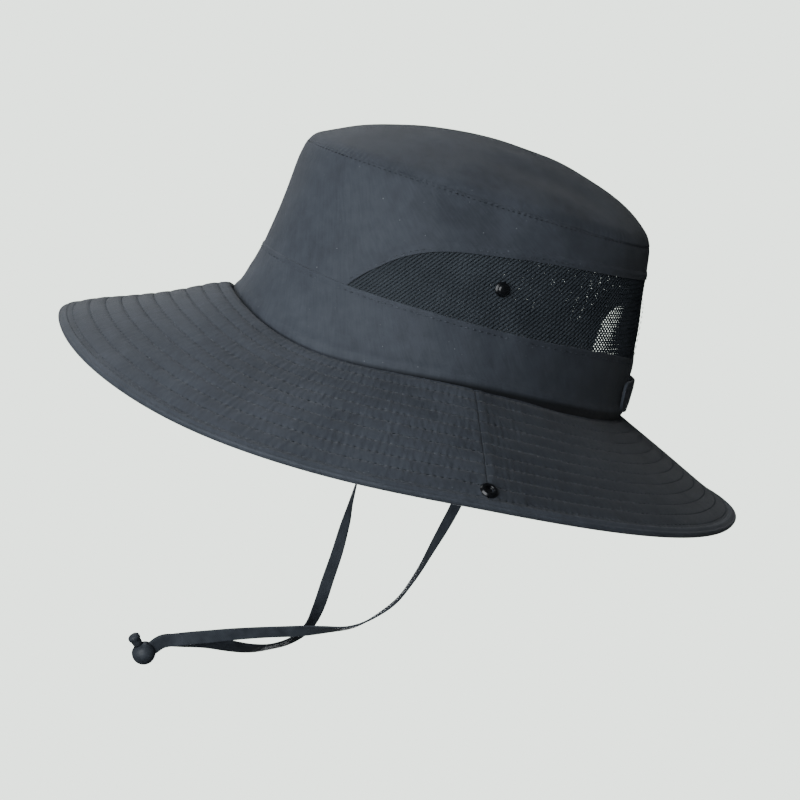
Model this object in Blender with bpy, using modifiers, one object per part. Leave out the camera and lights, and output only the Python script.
"""Wide brim sun hat with a mesh crown, a back opening and a chin strap, in the form that it has when worn.

Metres, +Z up. The front of the hat looks along -Y and the wearer's left side is +X. The origin is the centre of
the head opening, level with the seam between brim and band. Angles run round the hat in degrees, from the front
(0) by the wearer's left side (90) to the back (180). Heights on the crown run from 0 at the brim seam to 1 at
the top seam, and shares across the brim run from 0 at that seam to 1 at the brim's edge.
"""

import math
from collections import namedtuple

import bmesh
import bpy
from mathutils import Matrix, Vector

# Head opening and crown
HEAD_LENGTH = 0.200
HEAD_WIDTH = 0.168
CROWN_HEIGHT = 0.082
DOME_RISE = 0.0265
DOME_SETBACK = 0.008
CROWN_CLOTH = 0.0012
MESH_CLOTH = 0.0010
DENT_DEPTH = 0.0022

# Hat band
BAND_HEIGHT = 0.028
BAND_CLOTH = 0.0016

# Back opening and its closing tab
OPENING_WIDTH = 0.060
OPENING_HEIGHT = 0.050
OPENING_BINDING = 0.009
OPENING_CLOTH = 0.0020
TAB_LENGTH = 0.086
TAB_HEIGHT = 0.015
TAB_FOOT = 0.0025
TAB_CLOTH = 0.0014

# Brim
BRIM_WIDTH = 0.088
BRIM_CLOTH = 0.0024
EDGE_WIDTH = 0.0055
EDGE_THICKNESS = 0.0036

# Press studs
SOCKET_DIAMETER = 0.0088
SOCKET_HEIGHT = 0.0016
SOCKET_BORE = 0.0040
SOCKET_INSET = 0.0105
STUD_DIAMETER = 0.0070
STUD_HEIGHT = 0.0034
STUD_LEVEL = 0.0445
POST_DIAMETER = 0.0032
CAP_DIAMETER = 0.0090
CAP_HEIGHT = 0.0011

# Chin strap and cord lock
STRAP_WIDTH = 0.0065
STRAP_CLOTH = 0.0010
STRAP_SEWN = 0.016
TOGGLE_DIAMETER = 0.0118
TOGGLE_TILT = 47
BUTTON_DIAMETER = 0.0062
BUTTON_HEIGHT = 0.0066

# Clearance where two pieces meet
GAP = 0.0003

# Crown wall: the height of each level, and how far its inner face stands out at the front, sides and back, as
# shares of half the head opening's length or width.
Level = namedtuple("Level", "height front side back")
LEVELS = (
    Level(0.00, 1.000, 1.000, 1.000),
    Level(0.10, 0.970, 0.970, 1.000),
    Level(0.20, 0.950, 0.945, 0.997),
    Level(0.33, 0.932, 0.922, 0.985),
    Level(0.50, 0.920, 0.900, 0.956),
    Level(0.70, 0.911, 0.880, 0.917),
    Level(0.88, 0.906, 0.862, 0.889),
    Level(1.00, 0.893, 0.845, 0.866),
)

# What changes round the hat: the brim seam's and the top seam's level, as shares of CROWN_HEIGHT; the band's
# height, of BAND_HEIGHT; the brim's reach and fall, of BRIM_WIDTH; how fast its slope grows outwards; and how
# sharply the dome turns down to its seam.
Station = namedtuple("Station", "angle foot seam band reach fall curl dome")
STATIONS = (
    Station(0, 0.000, 0.985, 0.940, 0.868, 0.455, 1.35, 2.2),
    Station(45, -0.080, 0.990, 1.130, 0.885, 0.440, 1.12, 2.3),
    Station(90, 0.015, 1.000, 0.930, 0.800, 0.432, 1.00, 2.5),
    Station(135, 0.008, 1.010, 1.040, 0.815, 0.350, 0.85, 2.8),
    Station(180, 0.000, 1.015, 0.915, 0.785, 0.268, 0.84, 3.4),
)

# The mesh's upper edge on each side: a rising curve whose tip lies on the band.
Edge = namedtuple("Edge", "angle height")
MESH_EDGE = (
    Edge(45, 0.370),
    Edge(52, 0.470),
    Edge(60, 0.585),
    Edge(70, 0.665),
    Edge(85, 0.718),
    Edge(105, 0.768),
    Edge(135, 0.800),
    Edge(180, 0.800),
)

# Soft dents: where each lies, how wide it is in degrees and in height or share, and its depth as a share of
# DENT_DEPTH. A negative depth is a swelling.
Dent = namedtuple("Dent", "angle height across up depth")
WALL_DENTS = (
    Dent(17, 0.93, 16, 0.10, 0.35),
    Dent(84, 0.89, 13, 0.09, 0.60),
    Dent(117, 0.97, 9, 0.12, 0.75),
    Dent(200, 0.93, 18, 0.10, 0.50),
    Dent(262, 0.88, 15, 0.10, 0.55),
    Dent(318, 0.75, 14, 0.20, 0.45),
)
BAND_DENTS = (
    Dent(74, 0.24, 5, 0.14, -0.30),
    Dent(88, 0.26, 4, 0.14, -0.35),
    Dent(98, 0.30, 4, 0.12, -0.30),
)
BRIM_DENTS = (
    Dent(330, 0.90, 38, 0.75, -2.00),
    Dent(70, 1.00, 18, 0.45, 0.30),
    Dent(205, 1.00, 30, 0.60, 1.20),
    Dent(250, 1.00, 16, 0.50, -0.40),
)
DOME_DENTS = (
    Dent(103, 0.67, 18, 0.14, 0.75),
    Dent(83, 0.62, 12, 0.12, 0.40),
    Dent(126, 0.76, 10, 0.12, 0.60),
    Dent(48, 0.72, 20, 0.16, 0.40),
    Dent(215, 0.66, 24, 0.18, 0.70),
    Dent(290, 0.60, 22, 0.16, 0.55),
)

# Chin strap, from the point where each run leaves the head opening to the cord lock: places in the hat's frame,
# and the way that the ribbon's width lies there.
Turn = namedtuple("Turn", "place width")
STRAP_LEFT = (
    Turn((0.0800, 0.0141, -0.0210), (0.20, 0.97, 0.00)),
    Turn((0.0768, 0.0138, -0.0400), (0.60, 0.76, -0.20)),
    Turn((0.0740, 0.0136, -0.0570), (0.84, 0.42, -0.34)),
    Turn((0.0692, 0.0134, -0.0690), (0.88, 0.30, -0.39)),
    Turn((0.0622, 0.0126, -0.0840), (0.89, 0.04, -0.46)),
    Turn((0.0530, 0.0122, -0.1010), (0.87, -0.21, -0.45)),
    Turn((0.0455, 0.0100, -0.1155), (0.86, -0.37, -0.36)),
    Turn((0.0380, 0.0050, -0.1278), (0.81, -0.54, -0.22)),
    Turn((0.0310, -0.0027, -0.1375), (0.72, -0.68, 0.13)),
    Turn((0.0245, -0.0122, -0.1441), (0.50, -0.68, 0.48)),
    Turn((0.0180, -0.0221, -0.1499), (0.28, -0.52, 0.80)),
    Turn((0.0118, -0.0350, -0.1560), (0.25, -0.49, 0.84)),
    Turn((0.0075, -0.0478, -0.1616), (0.14, -0.46, 0.87)),
    Turn((0.0042, -0.0609, -0.1676), (-0.08, -0.40, 0.92)),
    Turn((0.0024, -0.0735, -0.1728), (-0.25, -0.45, 0.86)),
)
STRAP_RIGHT = (
    Turn((-0.0798, 0.0120, -0.0220), (-0.20, 0.97, 0.00)),
    Turn((-0.0770, 0.0095, -0.0500), (-0.55, 0.82, -0.05)),
    Turn((-0.0752, 0.0086, -0.0760), (-0.85, 0.50, -0.10)),
    Turn((-0.0735, 0.0084, -0.0995), (-0.98, 0.13, -0.13)),
    Turn((-0.0715, 0.0083, -0.1120), (-0.96, -0.15, -0.21)),
    Turn((-0.0675, 0.0079, -0.1266), (-0.80, -0.54, -0.27)),
    Turn((-0.0600, 0.0065, -0.1417), (-0.44, -0.89, -0.10)),
    Turn((-0.0510, 0.0037, -0.1556), (-0.10, -0.92, 0.38)),
    Turn((-0.0430, -0.0010, -0.1650), (0.30, -0.55, 0.78)),
    Turn((-0.0350, -0.0099, -0.1714), (0.55, -0.10, 0.80)),
    Turn((-0.0260, -0.0216, -0.1746), (0.54, 0.25, 0.78)),
    Turn((-0.0170, -0.0340, -0.1752), (0.40, 0.20, 0.88)),
    Turn((-0.0105, -0.0460, -0.1744), (0.20, 0.05, 0.95)),
    Turn((-0.0052, -0.0603, -0.1738), (-0.08, -0.12, 0.97)),
    Turn((-0.0024, -0.0725, -0.1752), (-0.25, -0.35, 0.90)),
)
TOGGLE_PLACE = Vector((0.0, -0.0896, -0.1852))
STRAP_ANGLE = 98

# How finely the shapes are divided
ROUND_STEPS = 64
STRAP_STEPS = 34
TURNED_STEPS = 16


def through(rows, column, at, level=False):
    """The smooth curve through a table's column, read where its first column has the value at."""
    places = [row[0] for row in rows]
    values = [getattr(row, column) for row in rows]
    at = min(max(at, places[0]), places[-1])
    first = max(i for i in range(len(rows) - 1) if places[i] <= at)

    def slope(i):
        if i in (0, len(rows) - 1):
            near = max(i - 1, 0)
            return 0 if level else (values[near + 1] - values[near]) / (places[near + 1] - places[near])
        return (values[i + 1] - values[i - 1]) / (places[i + 1] - places[i - 1])

    span = places[first + 1] - places[first]
    t = (at - places[first]) / span
    return (
        (2 * t**3 - 3 * t**2 + 1) * values[first]
        + (t**3 - 2 * t**2 + t) * span * slope(first)
        + (3 * t**2 - 2 * t**3) * values[first + 1]
        + (t**3 - t**2) * span * slope(first + 1)
    )


def from_front(angle):
    """The angle from the front, 0 to 180 on either side."""
    return abs((angle + 180) % 360 - 180)


def station(column, angle):
    return through(STATIONS, column, from_front(angle), level=True)


def dented(angle, height, dents):
    """How far the cloth is pressed in at a place."""
    depth = 0.0
    for dent in dents:
        turn = ((angle - dent.angle + 180) % 360 - 180) / dent.across
        rise = (height - dent.height) / dent.up
        depth += dent.depth * math.exp(-turn * turn - rise * rise)
    return depth * DENT_DEPTH


def foot_level(angle):
    return station("foot", angle) * CROWN_HEIGHT


def seam_level(angle):
    return station("seam", angle) * CROWN_HEIGHT


def height_of(angle, rise):
    """The height on the crown that lies this far above the brim seam."""
    return rise / (seam_level(angle) - foot_level(angle))


def plain_wall(angle, height):
    """A point of the crown's inner face, before its dents."""
    turn = math.radians(angle)
    end = "front" if math.cos(turn) > 0 else "back"
    rise = foot_level(angle) + height * (seam_level(angle) - foot_level(angle))
    return Vector((
        HEAD_WIDTH / 2 * through(LEVELS, "side", height) * math.sin(turn),
        -HEAD_LENGTH / 2 * through(LEVELS, end, height) * math.cos(turn),
        rise,
    ))


def wall_out(angle, height):
    """The direction straight out of the crown's wall."""
    step = 0.01
    along = plain_wall(angle + 1, height) - plain_wall(angle - 1, height)
    low, high = max(height - step, 0), min(height + step, 1)
    return along.cross(plain_wall(angle, high) - plain_wall(angle, low)).normalized()


def wall(angle, height, out=0.0):
    """A point this far outside the crown's inner face."""
    pressed = dented(angle, height, WALL_DENTS) + dented(angle, height, BAND_DENTS)
    return plain_wall(angle, height) + wall_out(angle, height) * (out - pressed)


def back_wall(across, rise, out=0.0):
    """The point of the wall at the back that lies this far across (+X) and above the brim seam."""
    angle = 180
    for _ in range(4):
        height = height_of(angle, rise)
        half = HEAD_WIDTH / 2 * through(LEVELS, "side", height)
        angle = 180 - math.degrees(math.asin(across / half))
    return wall(angle, height, out)


def band_top(angle):
    return height_of(angle, station("band", angle) * BAND_HEIGHT)


def mesh_rise(angle):
    """How high the mesh stands above the band, as a height on the crown."""
    if from_front(angle) < MESH_EDGE[0].angle:
        return 0.0
    return max(through(MESH_EDGE, "height", from_front(angle), level=True) - band_top(angle), 0)


def dome(angle, share):
    """A point of the dome's outer face, from its middle (share 0) to its seam (1)."""
    rim = wall(angle, 1, CROWN_CLOTH) + Vector((0, 0, GAP + CROWN_CLOTH))
    summit = CROWN_HEIGHT + DOME_RISE
    rise = summit - (summit - rim.z) * share ** station("dome", angle)
    rise -= dented(angle, share, DOME_DENTS)
    return Vector((rim.x * share, rim.y * share + DOME_SETBACK * (1 - share), rise))


def brim(angle, share, up=0.0):
    """A point this far above the brim's upper face."""
    turn = math.radians(angle)
    out = Vector((math.sin(turn) / HEAD_WIDTH, -math.cos(turn) / HEAD_LENGTH, 0)).normalized()
    reach = BAND_CLOTH + station("reach", angle) * BRIM_WIDTH
    fall = station("fall", angle) * BRIM_WIDTH
    drop = GAP + fall * share ** station("curl", angle) + share * dented(angle, share, BRIM_DENTS)
    return plain_wall(angle, 0) + out * reach * share + Vector((0, 0, up - drop))


def brim_length(angle):
    return (brim(angle, 1) - brim(angle, 0)).length


def brim_up(angle, share):
    """The direction straight up out of the brim."""
    step = 0.01
    along = brim(angle + 1, share) - brim(angle - 1, share)
    return along.cross(brim(angle, share - step) - brim(angle, share + step)).normalized()


def finish(name, colour, roughness, metallic=0.0):
    material = bpy.data.materials.new(name)
    material.use_nodes = True
    shader = material.node_tree.nodes["Principled BSDF"]
    shader.inputs["Base Color"].default_value = (*colour, 1)
    shader.inputs["Roughness"].default_value = roughness
    shader.inputs["Metallic"].default_value = metallic
    material.diffuse_color = (*colour, 1)
    return material


def added(name, bm, material, collection="wide_brim_sun_hat"):
    """The bmesh as an object of its own."""
    mesh = bpy.data.meshes.new(name)
    bm.to_mesh(mesh)
    bm.free()
    mesh.shade_smooth()
    mesh.set_sharp_from_angle(angle=math.radians(40))
    piece = bpy.data.objects.new(name, mesh)
    if material:
        mesh.materials.append(material)
    bpy.data.collections[collection].objects.link(piece)
    return piece


def laid(name, place, steps, thickness, material, side):
    """A sheet laid on place(across, up), both from 0 to 1, and given its thickness by Solidify."""
    bm = bmesh.new()
    bmesh.ops.create_grid(bm, x_segments=steps[0], y_segments=steps[1], size=0.5)
    for vert in bm.verts:
        vert.co = place(vert.co.x + 0.5, vert.co.y + 0.5)
    bmesh.ops.remove_doubles(bm, verts=bm.verts, dist=1e-6)
    piece = added(name, bm, material)
    if thickness:
        cloth = piece.modifiers.new("Cloth", "SOLIDIFY")
        cloth.thickness = thickness
        cloth.offset = side
    return piece


def cut(piece, cutter, operation="DIFFERENCE"):
    hole = piece.modifiers.new(cutter.name, "BOOLEAN")
    hole.operation = operation
    hole.object = cutter


def as_cutter(piece):
    piece.hide_render = True
    piece.display_type = "WIRE"
    return piece


def arch(grown, turn):
    """The back opening's outline, grown by a margin, from its left foot (turn 0) to its right foot (1)."""
    power = 2 / 2.6
    swing = math.pi * turn
    across = (OPENING_WIDTH / 2 + grown) * math.copysign(abs(math.cos(swing)) ** power, math.cos(swing))
    return across, GAP + (OPENING_HEIGHT + grown - GAP) * math.sin(swing) ** power


def arch_cutter(name, grown, steps=36):
    """A block through the back wall, of the opening's outline grown by a margin."""
    bm = bmesh.new()
    inner, outer = HEAD_LENGTH / 4, HEAD_LENGTH * 0.75
    verts = [bm.verts.new((x, inner, z)) for x, z in (arch(grown, i / steps) for i in range(steps + 1))]
    for across in (verts[-1].co.x, verts[0].co.x):
        verts.append(bm.verts.new((across, inner, -BAND_HEIGHT)))
    face = bm.faces.new(verts)
    wider = bmesh.ops.extrude_face_region(bm, geom=[face])["geom"]
    bmesh.ops.translate(
        bm, verts=[v for v in wider if isinstance(v, bmesh.types.BMVert)], vec=(0, outer - inner, 0)
    )
    bmesh.ops.recalc_face_normals(bm, faces=bm.faces)
    return as_cutter(added(name, bm, None, "cutters"))


def drill(name, place, axis, diameter):
    """A round cutter along an axis."""
    bm = bmesh.new()
    bmesh.ops.create_cone(
        bm,
        cap_ends=True,
        segments=TURNED_STEPS,
        radius1=diameter / 2,
        radius2=diameter / 2,
        depth=CAP_DIAMETER,
    )
    cutter = as_cutter(added(name, bm, None, "cutters"))
    cutter.location = place
    cutter.rotation_euler = axis.to_track_quat("Z", "Y").to_euler()
    return cutter


def turned(name, profile, material):
    """A turned piece: a profile of (radius, height) points spun about Z."""
    bm = bmesh.new()
    verts = [bm.verts.new((radius, 0, rise)) for radius, rise in profile]
    for pair in zip(verts, verts[1:]):
        bm.edges.new(pair)
    piece = added(name, bm, material)
    spin = piece.modifiers.new("Turned", "SCREW")
    spin.axis = "Z"
    spin.steps = spin.render_steps = TURNED_STEPS
    spin.use_merge_vertices = True
    spin.merge_threshold = 1e-5
    return piece


def under_cloth(cloth):
    """The lower half of a press stud's profile: a post through the cloth and a round cap beneath it."""
    post, cap = POST_DIAMETER / 2, CAP_DIAMETER / 2
    top, bottom = -cloth - GAP, -cloth - GAP - CAP_HEIGHT
    return [
        (post, GAP),
        (post, top),
        (cap, top),
        (cap, bottom + CAP_HEIGHT / 3),
        (cap * 0.8, bottom),
        (0, bottom),
    ]


def crown_pieces(nylon, net, binding):
    """The top panel, the wall, the mesh, the band and the bound back opening."""
    laid(
        "crown_top",
        lambda across, up: dome(360 * across, 1 - up),
        (ROUND_STEPS, 8),
        CROWN_CLOTH,
        nylon,
        -1,
    )

    def wall_place(across, up):
        angle = 360 * across
        rise = mesh_rise(angle)
        clear = height_of(angle, GAP)
        low = band_top(angle) + clear + rise + min(rise, clear)
        return wall(angle, low + (1 - low) * up)

    laid("crown_wall", wall_place, (ROUND_STEPS, 4), CROWN_CLOTH, nylon, 1)

    tip = MESH_EDGE[0].angle

    def mesh_place(across, up):
        angle = tip + (360 - 2 * tip) * across
        low = band_top(angle) + height_of(angle, GAP)
        return wall(angle, low + mesh_rise(angle) * up)

    mesh_steps = round(ROUND_STEPS * (1 - tip / 180))
    mesh = laid("mesh_panel", mesh_place, (mesh_steps, 4), MESH_CLOTH, net, 1)

    def band_place(across, up):
        angle = 360 * across
        low = height_of(angle, GAP)
        return wall(angle, low + (band_top(angle) - low) * up)

    band = laid("hat_band", band_place, (ROUND_STEPS, 3), BAND_CLOTH, nylon, 1)
    beyond = arch_cutter("panel_cutter", OPENING_BINDING + GAP)
    cut(mesh, beyond)
    cut(band, beyond)

    def back_place(across, up):
        span = OPENING_WIDTH + 3 * OPENING_BINDING
        return back_wall(span * (0.5 - across), GAP + (OPENING_HEIGHT + 1.5 * OPENING_BINDING) * up)

    bound = laid("opening_binding", back_place, (20, 6), OPENING_CLOTH, binding, 1)
    cut(bound, arch_cutter("binding_outline", OPENING_BINDING), "INTERSECT")
    cut(bound, arch_cutter("opening_cutter", 0))

    def tab_place(across, up):
        out = OPENING_CLOTH + GAP
        return back_wall(TAB_LENGTH * (0.5 - across), TAB_FOOT + TAB_HEIGHT * up, out)

    laid("back_tab", tab_place, (14, 2), TAB_CLOTH, nylon, 1)
    return mesh


def brim_pieces(nylon, binding):
    """The quilted brim in two halves, and the rolled binding round its edge."""

    def edge_share(angle):
        return 1 - (EDGE_WIDTH + GAP) / brim_length(angle)

    def half_place(middle):
        def place(across, up):
            near = math.degrees(GAP / HEAD_WIDTH)
            angle = middle - 90 + near + (180 - 2 * near) * across
            return brim(angle, edge_share(angle) * (1 - up))

        return place

    halves = [
        laid(name, half_place(middle), (ROUND_STEPS // 2, 7), BRIM_CLOTH, nylon, -1)
        for name, middle in (("brim_front", 0), ("brim_rear", 180))
    ]

    def edge_place(across, up):
        angle = 360 * across
        upward = brim_up(angle, 1)
        outward = (brim(angle, 1) - brim(angle, edge_share(angle))).normalized()
        middle = brim(angle, 1) - outward * EDGE_WIDTH / 2 - upward * BRIM_CLOTH / 2
        turn = 2 * math.pi * up
        flat = [math.copysign(abs(value) ** 0.7, value) for value in (math.cos(turn), math.sin(turn))]
        return middle + outward * EDGE_WIDTH / 2 * flat[0] + upward * EDGE_THICKNESS / 2 * flat[1]

    laid("brim_binding", edge_place, (ROUND_STEPS, 8), 0, binding, 0)
    return halves


def press_studs(mesh, halves, metal):
    """A socket near the brim's edge and a knob on the mesh, on each side."""
    bore, lip = SOCKET_BORE / 2, SOCKET_DIAMETER / 2
    socket = [
        (0, GAP),
        (bore, GAP),
        (bore, SOCKET_HEIGHT),
        (lip * 0.8, SOCKET_HEIGHT),
        (lip, SOCKET_HEIGHT / 2),
        (lip, GAP),
    ]
    knob = STUD_DIAMETER / 2
    stud = [
        (0, STUD_HEIGHT),
        (knob * 0.45, STUD_HEIGHT * 0.96),
        (knob * 0.72, STUD_HEIGHT * 0.78),
        (knob * 0.78, STUD_HEIGHT * 0.58),
        (knob * 0.62, STUD_HEIGHT * 0.36),
        (knob, STUD_HEIGHT * 0.24),
        (knob, GAP),
    ]
    for side, angle in (("left", 90), ("right", 270)):
        share = 1 - SOCKET_INSET / brim_length(angle)
        place, axis = brim(angle, share), brim_up(angle, share)
        piece = turned(f"brim_socket_{side}", socket + under_cloth(BRIM_CLOTH), metal)
        piece.location = place
        piece.rotation_euler = axis.to_track_quat("Z", "Y").to_euler()
        hole = drill(f"socket_drill_{side}", place, axis, POST_DIAMETER + 2 * GAP)
        for half in halves:
            cut(half, hole)

        height = height_of(angle, STUD_LEVEL)
        place, axis = wall(angle, height, MESH_CLOTH), wall_out(angle, height)
        piece = turned(f"crown_stud_{side}", stud + under_cloth(MESH_CLOTH), metal)
        piece.location = place
        piece.rotation_euler = axis.to_track_quat("Z", "Y").to_euler()
        cut(mesh, drill(f"stud_drill_{side}", place, axis, POST_DIAMETER + 2 * GAP))


def spline(points, t):
    """A smooth curve through points, t from 0 to 1 (Catmull-Rom)."""
    reach = t * (len(points) - 1)
    first = min(int(reach), len(points) - 2)
    t = reach - first
    p1, p2 = points[first], points[first + 1]
    p0 = points[first - 1] if first else 2 * p1 - p2
    p3 = points[first + 2] if first + 2 < len(points) else 2 * p2 - p1
    return 0.5 * (2 * p1 + (p2 - p0) * t + (2 * p0 - 5 * p1 + 4 * p2 - p3) * t * t + (3 * p1 - p0 - 3 * p2 + p3) * t**3)


def toggle_frame():
    return Matrix.Translation(TOGGLE_PLACE) @ Matrix.Rotation(math.radians(TOGGLE_TILT), 4, "X")


def strap(side, turns, sign, webbing):
    """One run of the chin strap: sewn inside the band, then along its turns, then into the cord lock."""
    inside = -GAP - STRAP_CLOTH / 2
    sewn = [
        wall(sign * STRAP_ANGLE, height_of(STRAP_ANGLE, STRAP_SEWN * part), inside - BRIM_CLOTH * past_brim)
        for part, past_brim in ((1.0, 0), (0.55, 0), (0.1, 0.8))
    ]
    lock = toggle_frame()
    beside = sign * (STRAP_CLOTH / 2 + GAP)
    ends = [lock @ Vector((beside, TOGGLE_DIAMETER * part, 0)) for part in (0.95, 0.45, 0.0)]
    places = sewn + [Vector(turn.place) for turn in turns] + ends
    upright = lock.to_3x3() @ Vector((0, 0, 1))
    along_band = wall(sign * STRAP_ANGLE + sign, 0) - wall(sign * STRAP_ANGLE - sign, 0)
    widths = [along_band.normalized()] * 3 + [Vector(turn.width) for turn in turns] + [upright] * 3

    def place(across, up):
        along = spline(places, min(across + 0.005, 1)) - spline(places, max(across - 0.005, 0))
        width = spline(widths, across)
        width -= along * (width.dot(along) / along.length_squared)
        return spline(places, across) + width.normalized() * STRAP_WIDTH * (up - 0.5)

    laid(f"chin_strap_{side}", place, (STRAP_STEPS, 1), STRAP_CLOTH, webbing, 0)


def cord_lock(plastic):
    """The round cord lock: a ball with a slot for the straps, and its push button."""
    bm = bmesh.new()
    bmesh.ops.create_uvsphere(bm, u_segments=18, v_segments=12, radius=TOGGLE_DIAMETER / 2)
    ball = added("toggle_body", bm, plastic)
    ball.matrix_world = toggle_frame()

    bm = bmesh.new()
    deep = TOGGLE_DIAMETER
    slot = (2 * STRAP_CLOTH + 4 * GAP, deep, STRAP_WIDTH + 2 * GAP)
    bmesh.ops.create_cube(bm, size=1, matrix=Matrix.Diagonal((*slot, 1)))
    slot_cutter = as_cutter(added("slot_cutter", bm, None, "cutters"))
    slot_cutter.matrix_world = toggle_frame() @ Matrix.Translation((0, deep / 2 - 2 * GAP, 0))
    cut(ball, slot_cutter)

    seat = STRAP_WIDTH / 2 + 4 * GAP
    bm = bmesh.new()
    bmesh.ops.create_cone(
        bm,
        cap_ends=True,
        segments=TURNED_STEPS,
        radius1=BUTTON_DIAMETER / 2 + GAP,
        radius2=BUTTON_DIAMETER / 2 + GAP,
        depth=TOGGLE_DIAMETER,
    )
    seat_cutter = as_cutter(added("seat_cutter", bm, None, "cutters"))
    seat_cutter.matrix_world = toggle_frame() @ Matrix.Translation((0, 0, seat + TOGGLE_DIAMETER / 2))
    cut(ball, seat_cutter)

    radius = BUTTON_DIAMETER / 2
    button = turned(
        "toggle_button",
        [
            (0, BUTTON_HEIGHT),
            (radius * 0.6, BUTTON_HEIGHT * 0.97),
            (radius * 0.92, BUTTON_HEIGHT * 0.86),
            (radius, BUTTON_HEIGHT * 0.70),
            (radius, 0),
            (0, 0),
        ],
        plastic,
    )
    button.matrix_world = toggle_frame() @ Matrix.Translation((0, 0, seat + GAP))


def main():
    for item in list(bpy.data.objects):
        bpy.data.objects.remove(item, do_unlink=True)
    for name in ("wide_brim_sun_hat", "cutters"):
        bpy.context.scene.collection.children.link(bpy.data.collections.new(name))
    nylon = finish("nylon_cloth", (0.075, 0.090, 0.115), 0.75)
    net = finish("open_mesh", (0.030, 0.036, 0.046), 0.85)
    binding = finish("binding_tape", (0.060, 0.073, 0.095), 0.80)
    metal = finish("press_stud_metal", (0.035, 0.040, 0.050), 0.30, 0.8)
    webbing = finish("strap_webbing", (0.055, 0.066, 0.085), 0.80)
    plastic = finish("cord_lock_plastic", (0.030, 0.034, 0.042), 0.45)
    mesh = crown_pieces(nylon, net, binding)
    halves = brim_pieces(nylon, binding)
    press_studs(mesh, halves, metal)
    strap("left", STRAP_LEFT, 1, webbing)
    strap("right", STRAP_RIGHT, -1, webbing)
    cord_lock(plastic)


main()
